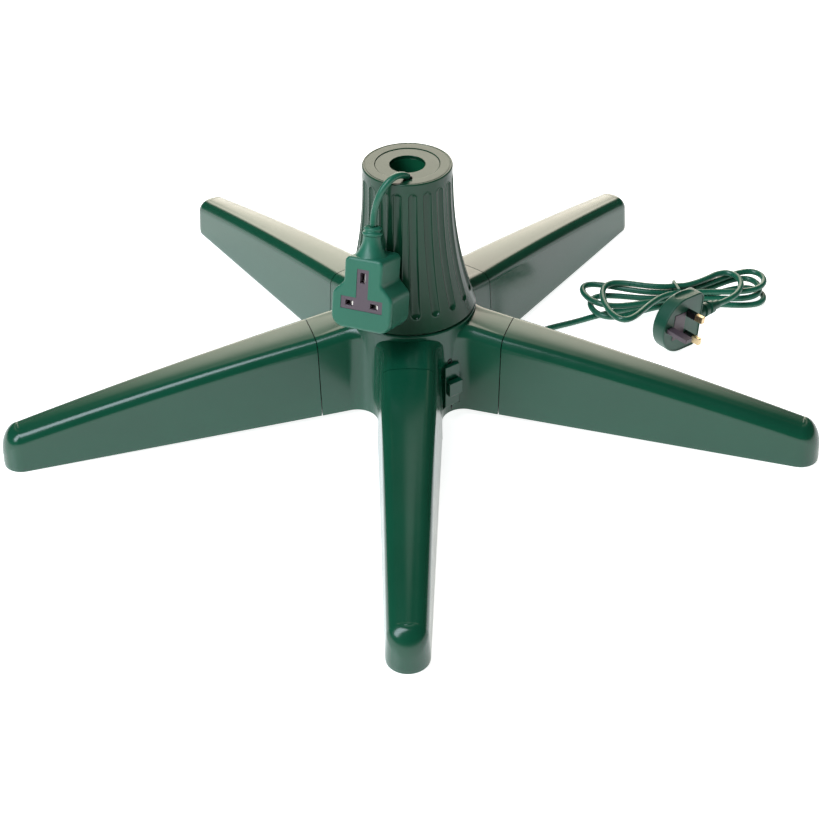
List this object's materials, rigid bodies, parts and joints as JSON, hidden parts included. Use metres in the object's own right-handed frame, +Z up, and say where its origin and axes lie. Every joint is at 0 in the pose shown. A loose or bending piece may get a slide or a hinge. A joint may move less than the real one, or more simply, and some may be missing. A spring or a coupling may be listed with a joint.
{
  "type": "rotating christmas tree stand",
  "caption": "Stand with splayed legs, whose fluted column turns a tree's pole and feeds its lights through a trailing socket.",
  "frame": {"origin": "on the turning axis at floor level, under the middle of the hub", "axes": "+Z up along the turning axis; -Y along the front leg; +X to the right seen from the front leg"},
  "size_m": [0.6864, 0.6542, 0.2314],
  "materials": {
    "body_plastic": "moulded, semi-gloss",
    "pad_rubber": "moulded, matt",
    "screw_steel": "zinc plated",
    "bearing_nylon": "moulded, satin",
    "motor_steel": "drawn can",
    "dark_plastic": "moulded, semi-gloss",
    "switch_plastic": "moulded, gloss",
    "contact_brass": "pressed",
    "cord_pvc": "extruded, satin",
    "socket_pvc": "moulded, satin",
    "plug_pvc": "moulded, satin",
    "core_plastic": "moulded, satin"
  },
  "bodies": {
    "base": {"leg_front": "body_plastic", "leg_right": "body_plastic", "leg_back_right": "body_plastic", "leg_back_left": "body_plastic", "leg_left": "body_plastic", "foot_pads": "pad_rubber", "leg_screws": "screw_steel", "hub_housing": "body_plastic", "bottom_cover": "body_plastic", "cover_screws": "screw_steel", "upper_bush": "bearing_nylon", "lower_bush": "bearing_nylon", "thrust_washer": "bearing_nylon", "gear_motor": "motor_steel", "brush_block": "dark_plastic", "brush_fingers": "contact_brass", "terminal_block": "bearing_nylon", "switch_surround": "dark_plastic", "lead_gland": "cord_pvc", "mains_lead": "cord_pvc", "lead_hank": "cord_pvc", "lead_tail": "cord_pvc", "hank_tie": "cord_pvc", "plug_body": "plug_pvc", "plug_earth_pin": "core_plastic", "plug_power_pins": "contact_brass", "plug_pin_sleeves": "dark_plastic", "plug_fuse_cover": "core_plastic"},
    "turning_head": {"turntable": "bearing_nylon", "column_shell": "body_plastic", "top_disc": "body_plastic", "pole_tube": "body_plastic", "column_screws": "screw_steel", "drive_gear": "bearing_nylon", "slip_drum": "dark_plastic", "slip_rings": "contact_brass", "disc_grommet": "dark_plastic", "socket_body": "socket_pvc", "socket_core": "core_plastic", "socket_contacts": "contact_brass", "socket_lead": "cord_pvc"},
    "motor_output": {"motor_shaft": "screw_steel", "drive_pinion": "bearing_nylon"},
    "slider": {"switch_slider": "switch_plastic"},
    "shutter": {"socket_shutter": "core_plastic"}
  },
  "joints": [
    {"name": "head_turn", "type": "hinge", "parent": "base", "child": "turning_head", "pos_m": [0, 0, 0], "axis": [0, 0, 1], "continuous": true},
    {"name": "pinion_turn", "type": "hinge", "parent": "base", "child": "motor_output", "pos_m": [0.02586, 0.0356, 0.04], "axis": [0, 0, 1], "continuous": true},
    {"name": "switch_slide", "type": "slide", "parent": "base", "child": "slider", "axis": [0, 0, 1], "range_m": [0, 0.006]},
    {"name": "shutter_slide", "type": "slide", "parent": "turning_head", "child": "shutter", "axis": [-0.0724, -0.2792, -0.9575], "range_m": [0, 0.006], "stiffness_N_per_m": 60}
  ],
  "couplings": [
    {"joint": "pinion_turn", "follows": "head_turn", "ratio": -2.2353}
  ]
}
